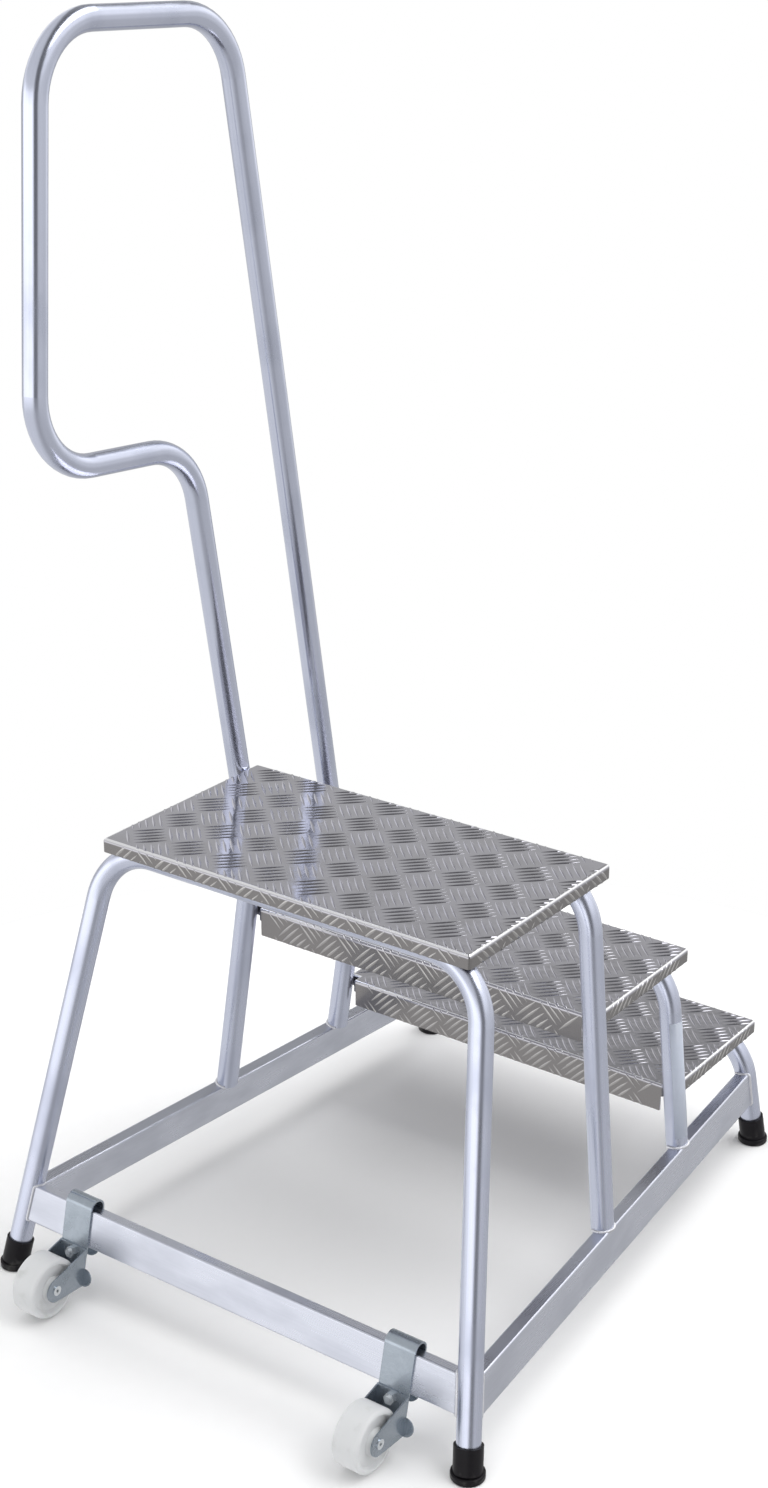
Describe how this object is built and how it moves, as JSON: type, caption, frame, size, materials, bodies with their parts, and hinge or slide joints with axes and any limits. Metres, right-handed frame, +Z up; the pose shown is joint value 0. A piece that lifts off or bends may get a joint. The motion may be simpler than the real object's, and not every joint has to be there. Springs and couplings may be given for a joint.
{
  "type": "mobile work platform",
  "caption": "Welded aluminium step platform with folded chequer-plate treads on bent-tube hoops, a one-sided handrail loop, rubber feet and fixed castors at the rear for tipping and rolling.",
  "frame": {"origin": "on the floor, at the middle of the footprint's box", "axes": "+X to the climber's right, +Y to the rear where the castors are, +Z up"},
  "size_m": [0.7645, 0.9784, 1.5922],
  "materials": {
    "tube": "satin drawn aluminium tube",
    "box_section": "satin extruded aluminium",
    "chequer_plate": "rolled five-bar chequer plate, folded and welded",
    "zinc": "bright zinc-plated pressed steel",
    "nylon": "moulded natural nylon",
    "rubber": "moulded black rubber"
  },
  "bodies": {
    "platform": {"hoop_rear": "tube", "hoop_platform": "tube", "hoop_middle_step": "tube", "hoop_low_step": "tube", "tread_platform": "chequer_plate", "tread_middle": "chequer_plate", "tread_low": "chequer_plate", "side_rail_right": "box_section", "side_rail_left": "box_section", "cross_rail_rear": "box_section", "handrail": "tube", "foot_rear_right": "rubber", "foot_rear_left": "rubber", "foot_front_right": "rubber", "foot_front_left": "rubber", "strap_right": "zinc", "fork_right": "zinc", "clamp_bolt_right": "zinc", "clamp_nut_right": "zinc", "axle_right": "zinc", "strap_left": "zinc", "fork_left": "zinc", "clamp_bolt_left": "zinc", "clamp_nut_left": "zinc", "axle_left": "zinc"},
    "wheel_right": {"wheel_right": "nylon"},
    "wheel_left": {"wheel_left": "nylon"}
  },
  "joints": [
    {"name": "wheel_right_spin", "type": "hinge", "parent": "platform", "child": "wheel_right", "pos_m": [0.254, 0.44916, 0.043], "axis": [1, 0, 0], "continuous": true},
    {"name": "wheel_left_spin", "type": "hinge", "parent": "platform", "child": "wheel_left", "pos_m": [-0.254, 0.44916, 0.043], "axis": [1, 0, 0], "continuous": true}
  ]
}
